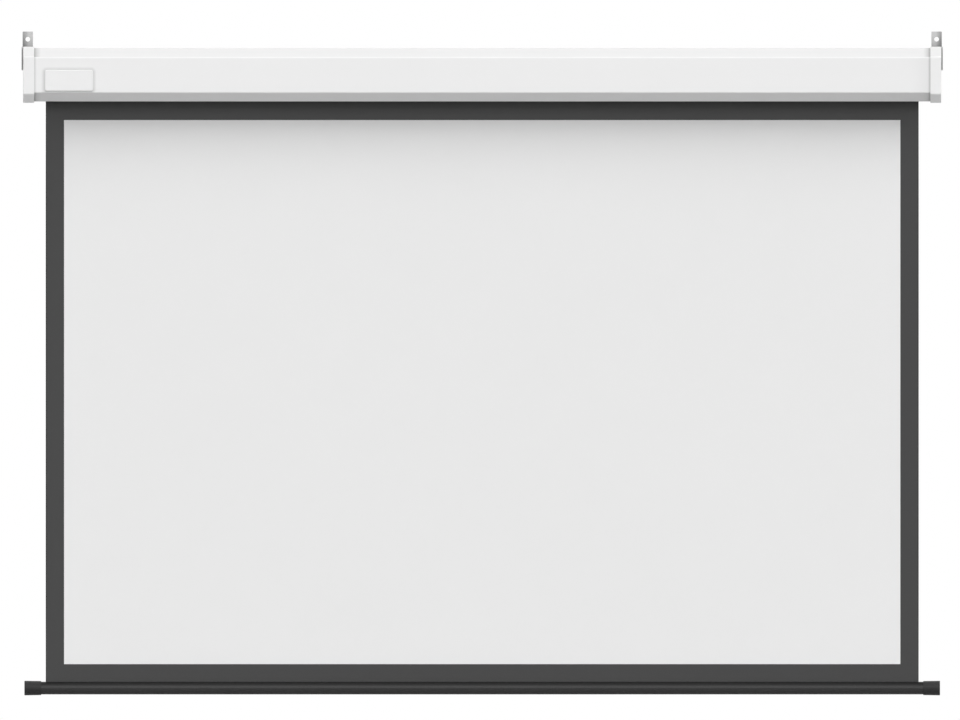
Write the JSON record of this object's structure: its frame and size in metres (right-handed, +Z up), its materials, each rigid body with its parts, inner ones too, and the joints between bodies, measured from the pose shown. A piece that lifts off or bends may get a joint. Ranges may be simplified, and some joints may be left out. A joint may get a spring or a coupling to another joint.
{
  "type": "motorized projector screen",
  "caption": "Wall-mounted screen that a tubular motor unrolls from a chamfered casing, with a black border and a round weighted bottom bar.",
  "frame": {"origin": "middle of the casing's flat back face, at the height of the roller's axis", "axes": "+X to the right as the viewer sees the screen, +Y towards the wall, +Z up"},
  "size_m": [1.7624, 0.1038, 1.2701],
  "materials": {
    "white_powder_coat": "satin",
    "white_abs": "satin",
    "grey_painted_steel": "satin",
    "zinc_plated_steel": "satin",
    "mill_aluminium": "satin",
    "black_abs": "satin",
    "black_powder_coat": "satin",
    "natural_nylon": "satin",
    "gear_steel": "polished",
    "motor_steel_and_copper": "satin",
    "matt_white_vinyl": "matte",
    "matt_black_vinyl": "matte"
  },
  "bodies": {
    "case": {"casing": "white_powder_coat", "left_end_plate": "zinc_plated_steel", "right_end_plate": "zinc_plated_steel", "left_end_cap": "white_abs", "right_end_cap": "white_abs", "left_end_screw_1": "zinc_plated_steel", "left_end_screw_2": "zinc_plated_steel", "left_end_screw_3": "zinc_plated_steel", "left_end_screw_4": "zinc_plated_steel", "right_end_screw_1": "zinc_plated_steel", "right_end_screw_2": "zinc_plated_steel", "right_end_screw_3": "zinc_plated_steel", "right_end_screw_4": "zinc_plated_steel", "left_wall_bracket": "grey_painted_steel", "right_wall_bracket": "grey_painted_steel", "left_bracket_screw_1": "zinc_plated_steel", "left_bracket_screw_2": "zinc_plated_steel", "right_bracket_screw_1": "zinc_plated_steel", "right_bracket_screw_2": "zinc_plated_steel", "cable_grommet": "black_abs", "motor_head": "black_abs", "motor_clip": "zinc_plated_steel", "motor_tube": "zinc_plated_steel", "limit_switch": "black_abs", "run_capacitor": "white_abs", "motor_brake": "zinc_plated_steel", "motor_stator": "motor_steel_and_copper", "ring_gear": "gear_steel", "output_bush": "natural_nylon", "idler_bush": "natural_nylon", "viewing_surface": "matt_white_vinyl", "mask_border": "matt_black_vinyl"},
    "roller": {"roller_tube": "mill_aluminium", "roller_fabric_bead": "natural_nylon", "fabric_roll": "matt_black_vinyl", "limit_crown": "natural_nylon", "drive_wheel": "natural_nylon", "planet_carrier": "gear_steel", "idler_plug": "black_abs", "idler_pin": "zinc_plated_steel"},
    "rotor": {"rotor": "gear_steel", "sun_gear": "gear_steel"},
    "planet_1": {"planet_gear_1": "gear_steel"},
    "planet_2": {"planet_gear_2": "gear_steel"},
    "planet_3": {"planet_gear_3": "gear_steel"},
    "bar": {"mask_hem": "matt_black_vinyl", "hem_bead": "natural_nylon", "bottom_tube": "black_powder_coat", "left_bar_cap": "black_abs", "right_bar_cap": "black_abs"},
    "upper_limit": {"upper_limit_screw": "natural_nylon"},
    "lower_limit": {"lower_limit_screw": "natural_nylon"}
  },
  "joints": [
    {"name": "roller_spin", "type": "hinge", "parent": "case", "child": "roller", "pos_m": [0, -0.048, 0], "axis": [1, 0, 0], "range_deg": [0, 2300]},
    {"name": "screen_travel", "type": "slide", "parent": "case", "child": "bar", "axis": [0, 0, 1], "range_m": [0, 1.104], "deforming": ["viewing_surface", "mask_border"]},
    {"name": "rotor_spin", "type": "hinge", "parent": "case", "child": "rotor", "pos_m": [-0.6, -0.048, 0], "axis": [1, 0, 0], "range_deg": [0, 9201]},
    {"name": "planet_1_spin", "type": "hinge", "parent": "roller", "child": "planet_1", "pos_m": [-0.456, -0.048, 0.009], "axis": [1, 0, 0], "range_deg": [-6901, 0]},
    {"name": "planet_2_spin", "type": "hinge", "parent": "roller", "child": "planet_2", "pos_m": [-0.456, -0.05579, -0.0045], "axis": [1, 0, 0], "range_deg": [-6901, 0]},
    {"name": "planet_3_spin", "type": "hinge", "parent": "roller", "child": "planet_3", "pos_m": [-0.456, -0.04021, -0.0045], "axis": [1, 0, 0], "range_deg": [-6901, 0]},
    {"name": "upper_limit_turn", "type": "hinge", "parent": "case", "child": "upper_limit", "pos_m": [-0.8654, -0.0365, -0.01992], "axis": [0, 0.5, -0.866], "continuous": true},
    {"name": "lower_limit_turn", "type": "hinge", "parent": "case", "child": "lower_limit", "pos_m": [-0.8574, -0.0365, -0.01992], "axis": [0, 0.5, -0.866], "continuous": true}
  ],
  "couplings": [
    {"joint": "screen_travel", "follows": "roller_spin", "m_per_rad": 0.0275},
    {"joint": "rotor_spin", "follows": "roller_spin", "ratio": 4},
    {"joint": "planet_1_spin", "follows": "roller_spin", "ratio": -3},
    {"joint": "planet_2_spin", "follows": "roller_spin", "ratio": -3},
    {"joint": "planet_3_spin", "follows": "roller_spin", "ratio": -3}
  ]
}
